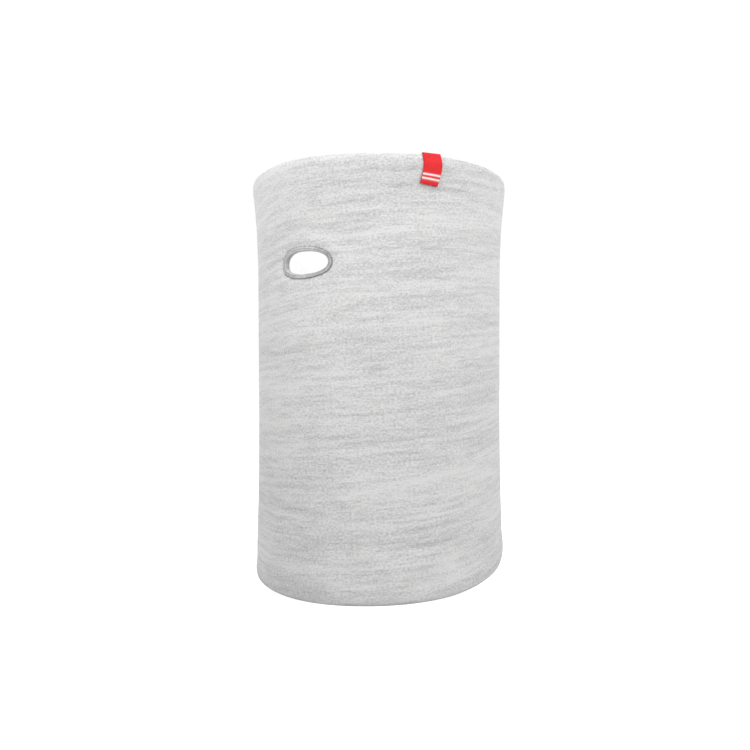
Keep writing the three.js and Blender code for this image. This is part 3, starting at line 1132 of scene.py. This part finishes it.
class GAITER_OT_woven_label(bpy.types.Operator):
    """Make the folded label that is caught in the top rim"""

    bl_idname = "gaiter.woven_label"
    bl_label = "Woven Label"

    def execute(self, context):
        tube = Tube(context)
        angle, out = label_place(tube)
        along = Vector((-out.y, out.x, 0))
        work = bmesh.new()
        length = work.verts.layers.float.new("length")
        stripe = work.verts.layers.float.new("Stripe")
        spine, edges = add_line(work, [(0, depth, z) for depth, z in self.line()])
        far = measure(spine, length)
        for vert in spine:
            vert[stripe] = self.stripe(vert.co)
        draw_out(work, spine + edges, Vector((LABEL_WIDTH / LABEL_COLUMNS, 0, 0)), LABEL_COLUMNS)
        keep_flat(work, lambda vert: (vert.co.x, vert[length]))
        for vert in work.verts:
            side = vert.co.x - LABEL_WIDTH / 2
            vert.co = self.drape(tube, angle, out, along, side, vert.co.y, vert.co.z)
        bmesh.ops.recalc_face_normals(work, faces=work.faces)
        label = add_object(work, "woven_label_cloth", woven_label_material(context.scene.gaiter_colours))
        thicken(label, LABEL_PLY)
        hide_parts("woven_label_tail", "woven_label_flap")
        hinge = tube.place(angle, LABEL_DEPTH, HEIGHT)
        start, end = hinge + out * 0.35 * MM, hinge + out * 1.8 * MM
        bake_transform(label)
        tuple(start)
        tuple(end)
        return {"FINISHED"}

    @staticmethod
    def stripe(at):
        """Two stripes across the hanging part."""
        if at.y >= -0.5 * MM:
            return 0.0
        from_stripe = min(abs(HEIGHT - at.z - middle) for middle in LABEL_STRIPES) - STRIPE_HALF
        return smoothstep(0.25 * MM, -0.05 * MM, from_stripe)

    @staticmethod
    def line():
        """The folded ribbon's middle line as (depth, height): up out of the rim, over, down, and back."""
        gap = LABEL_THICKNESS - LABEL_PLY * 2
        half = gap / 2 + LABEL_PLY / 2
        low = HEIGHT - LABEL_HANG + 0.6 * MM
        outer_line, inner_line = [], []
        for offset, points in ((half, outer_line), (-half, inner_line)):
            tail = LABEL_DEPTH + offset
            seat = HEIGHT + LABEL_SEAT + offset
            face = -LABEL_OUT - offset
            bend_radius = 1.0 * MM + offset
            start = seat - bend_radius
            points += [(tail, HEIGHT - below * MM) for below in (6.5, 3, 1)]
            points += arc((tail - bend_radius, start), bend_radius, 0, 90, 4)
            points += [(tail - bend_radius - 0.9 * MM, seat)]
            points += arc((face + bend_radius, start), bend_radius, 90, 180, 4)
            count = 22
            points += [(face, start + (low - start) * step / count) for step in range(1, count + 1)]
        fold = arc((-LABEL_OUT, low), half, 180, 360, 6)[1:-1]
        return outer_line + fold + inner_line[::-1]

    @staticmethod
    def drape(tube, angle, out, along, side, depth, z):
        """Lays the ribbon over the rim and lets its loose end curl away from the shell and sway."""
        turn = angle + side / tube.sizes.half_depth
        at = tube.place(turn, 0, min(z, HEIGHT))
        rim = tube.place(angle, 0, HEIGHT) + along * side
        hang = smoothstep(HEIGHT - 1 * MM, HEIGHT - 5 * MM, z) if depth < 0 else 0.0
        at = rim.lerp(at, hang)
        at.z = z + tube.rise(turn, min(z, HEIGHT))
        at -= out * depth
        drop = max(0.0, (HEIGHT - z) / LABEL_HANG) if depth < 0 else 0.0
        at.z += 0.3 * MM * min(1.0, drop) - side * 0.09 * drop
        belly = math.sin(math.pi * min(1.0, drop)) * 0.45 * MM
        kick = smoothstep(0.55, 1.0, drop) * 0.15 * MM
        twist = side / LABEL_WIDTH * 0.6 * MM * math.sin(1.5 * math.pi * drop)
        askew = 0.45 * MM + max(0.0, depth) * 0.45
        sway = askew + 0.7 * MM * math.sin(1.25 * math.pi * min(1.0, drop)) - 1.1 * MM * drop**2
        return at + out * (belly + kick + twist) + along * sway


# ---- Care label ----

CARE_PLY = 0.2 * MM
CARE_PLIES = (0.35 * MM, 0.7 * MM)  # how far each ply's middle lies in front of the lining's wall
CARE_STEPS = 24
CARE_ROWS = 20
CARE_STITCH = 2.4 * MM
CARE_ARCH = ((0.06, 0.0), (0.25, 0.2), (0.5, 0.26), (0.75, 0.2), (0.94, 0.0))


class GAITER_OT_care_label(bpy.types.Operator):
    """Make the blank satin label stitched beside the lining's back seam"""

    bl_idname = "gaiter.care_label"
    bl_label = "Care Label"

    def execute(self, context):
        tube = Tube(context)
        wall = wall_depth(context.scene.gaiter_cloth)
        strip_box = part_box("care_label_strip")
        leaf_end = CARE_BOX[1].x
        low, high = CARE_BOX[0].z, CARE_BOX[1].z
        work = bmesh.new()
        length = work.verts.layers.float.new("length")
        line = self.line(tube, wall, strip_box[0].x, leaf_end)
        spine, edges = add_line(work, [(x, y, low) for x, y in line])
        far = measure(spine, length)
        draw_out(work, spine + edges, Vector((0, 0, (high - low) / CARE_ROWS)), CARE_ROWS)
        keep_flat(work, lambda vert: (vert[length], vert.co.z))
        loose = strip_box[1].x
        for vert in work.verts:
            share = smoothstep(loose, leaf_end, vert.co.x)
            wave = math.sin((vert.co.z - low) / (high - low) * 1.6 * math.pi + 0.6)
            vert.co.y -= share * (0.9 + 0.7 * wave) * MM
        bmesh.ops.recalc_face_normals(work, faces=work.faces)
        label = add_object(work, "care_label_cloth", satin_material(context.scene.gaiter_colours))
        thicken(label, CARE_PLY)
        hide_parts("care_label_strip", "care_label_leaf")
        hinge = Vector((loose + 0.1 * MM, self.wall_y(tube, wall, loose), (low + high) / 2))
        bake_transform(label)
        self.stitches(context, tube, wall)
        return {"FINISHED"}

    @staticmethod
    def wall_y(tube, depth, x):
        """The +Y side of the tube at that depth and distance from the back seam, below the waist."""
        z = (CARE_BOX[0].z + CARE_BOX[1].z) / 2
        half = tube.sizes.half_width + tube.out(z) - depth
        return (tube.sizes.half_depth + tube.out(z) - depth) * math.sqrt(1 - (x / half) ** 2)

    def line(self, tube, wall, start, end):
        """The folded satin's middle line, seen from above: along the lining, round its end, and back."""
        near, far = (wall + ply for ply in CARE_PLIES)
        xs = [start + (end - start) * step / CARE_STEPS for step in range(CARE_STEPS + 1)]
        first = [(x, self.wall_y(tube, near, x)) for x in xs]
        second = [(x, self.wall_y(tube, far, x)) for x in xs]
        middle = ((first[-1][0] + second[-1][0]) / 2, (first[-1][1] + second[-1][1]) / 2)
        turn = [(middle[0] + 0.18 * MM, middle[1])]
        return first + turn + second[::-1]

    def stitches(self, context, tube, wall):
        """A row of stitches through the sewn edge of the label."""
        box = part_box("care_label_stitch")
        x = (box[0].x + box[1].x) / 2
        count = int((box[1].z - box[0].z) / CARE_STITCH)
        face = wall + 0.8 * MM
        paths = [
            arched_stitch(x, face, box[0].z + CARE_STITCH * index, CARE_STITCH, CARE_ARCH)
            for index in range(count)
        ]

        def place(at):
            return Vector((at.x, self.wall_y(tube, at.y, at.x), at.z))

        material = thread_material("care_thread", context.scene.gaiter_colours.seam)
        made = threads("care_label_stitches", paths, 0.16 * MM, material, place)
        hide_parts("care_label_stitch")
        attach(made, ROOT)


# ---- Studio ----

WHITE = 1.02  # just past the brightest that a picture holds
AIR_LIGHT = 0.6
FLOOR_GLOW = 0.6
FLOOR_SIZE = 6.0
AIM_HEIGHT = HEIGHT * 0.8  # what the lights point at
CAMERA_TURN = math.radians(0.45)  # how far the camera looks past the tube's axis
SOFTBOXES = {  # size, power, and place: towards the camera, to its right, and up
    "right_softbox": (0.5, 3.3, (0.42, 0.46, 0.55)),
    "left_softbox": (0.36, 1.2, (0.30, -0.28, 0.42)),
    "opening_softbox": (0.15, 0.45, (0.06, 0.0, 0.64)),
    "back_right_softbox": (0.5, 1.3, (-0.52, 0.20, 0.45)),
    "back_left_softbox": (0.5, 1.3, (-0.52, -0.20, 0.45)),
}


def add_light(name, size, power, at, target):
    """A square softbox, aimed, that the camera doesn't see."""
    light = bpy.data.lights.new(name, "AREA")
    light.size = size
    light.energy = power
    lamp = bpy.data.objects.new(name, light)
    bpy.context.collection.objects.link(lamp)
    lamp.location = at
    lamp.visible_camera = False
    lamp.rotation_euler = (target - at).to_track_quat("-Z", "Y").to_euler()


class GAITER_OT_stage(bpy.types.Operator):
    """Set the floor, the lights and the camera"""

    bl_idname = "gaiter.stage"
    bl_label = "Studio"

    def execute(self, context):
        scene = context.scene
        stage = scene.gaiter_stage
        self.floor()
        scene.world = self.air()
        side = Vector((math.sin(stage.azimuth), -math.cos(stage.azimuth), 0))
        right = Vector((math.cos(stage.azimuth), math.sin(stage.azimuth), 0))
        up = Vector((0, 0, 1))
        for name, (size, power, (near, beside, above)) in SOFTBOXES.items():
            add_light(name, size, power, side * near + right * beside + up * above, up * AIM_HEIGHT)
        scene.view_settings.view_transform = "Standard"
        scene.view_settings.look = "None"
        camera_data = bpy.data.cameras.new("camera")
        camera_data.lens = stage.lens
        camera_data.sensor_width = 36
        camera_data.clip_start = 0.01
        camera = bpy.data.objects.new("camera", camera_data)
        scene.collection.objects.link(camera)
        camera.location = side * stage.distance + up * stage.eye_height
        camera.rotation_euler = (math.pi / 2, 0, stage.azimuth + CAMERA_TURN)
        scene.camera = camera
        return {"FINISHED"}

    @staticmethod
    def air():
        """White all round to the camera, and a dimmer, even light on the gaiter."""
        world = bpy.data.worlds.new("studio_air")
        world.use_nodes = True
        nodes = Nodes(world.node_tree)
        seen = nodes.node("ShaderNodeLightPath")
        background = world.node_tree.nodes["Background"]
        nodes.feed(background.inputs["Color"], (1, 1, 1))
        nodes.feed(background.inputs["Strength"], seen * (WHITE - AIR_LIGHT) + AIR_LIGHT)
        return world

    @staticmethod
    def floor():
        """A broad pale floor, level with the bottom rim. Its glow keeps the shadows on it faint."""
        work = bmesh.new()
        bmesh.ops.create_grid(work, x_segments=2, y_segments=2, size=FLOOR_SIZE)
        surface = Surface("floor_paper", Roughness=0.9, Specular_IOR_Level=0.1)
        surface.set(Base_Color=(0.95, 0.95, 0.95), Emission_Color=(1, 1, 1), Emission_Strength=FLOOR_GLOW)
        floor = add_object(work, "floor", surface.material)
        floor.visible_diffuse = False


OPERATORS = (
    GAITER_OT_slack,
    GAITER_OT_shell,
    GAITER_OT_lining,
    GAITER_OT_seams,
    GAITER_OT_overlock,
    GAITER_OT_binding,
    GAITER_OT_woven_label,
    GAITER_OT_care_label,
    GAITER_OT_stage,
)


class GAITER_PT_panel(bpy.types.Panel):
    """Lists the gaiter's pieces and sizes"""

    bl_idname = "GAITER_PT_panel"
    bl_label = "Neck Gaiter"
    bl_space_type = "VIEW_3D"
    bl_region_type = "UI"
    bl_category = "Gaiter"

    def draw(self, context):
        for group in GROUPS:
            holder = getattr(context.scene, group)
            for name in holder.__annotations__:
                self.layout.prop(holder, name)
        for operator in OPERATORS:
            self.layout.operator(operator.bl_idname)


def register():
    for kind in (*GROUPS.values(), *OPERATORS, GAITER_PT_panel):
        bpy.utils.register_class(kind)
    for name, kind in GROUPS.items():
        setattr(bpy.types.Scene, name, bpy.props.PointerProperty(type=kind))


def unregister():
    for name in GROUPS:
        delattr(bpy.types.Scene, name)
    for kind in reversed((*GROUPS.values(), *OPERATORS, GAITER_PT_panel)):
        bpy.utils.unregister_class(kind)


def main():
    register()
    for operator in OPERATORS:
        space, name = operator.bl_idname.split(".")
        getattr(getattr(bpy.ops, space), name)()


if __name__ == "__main__":
    main()
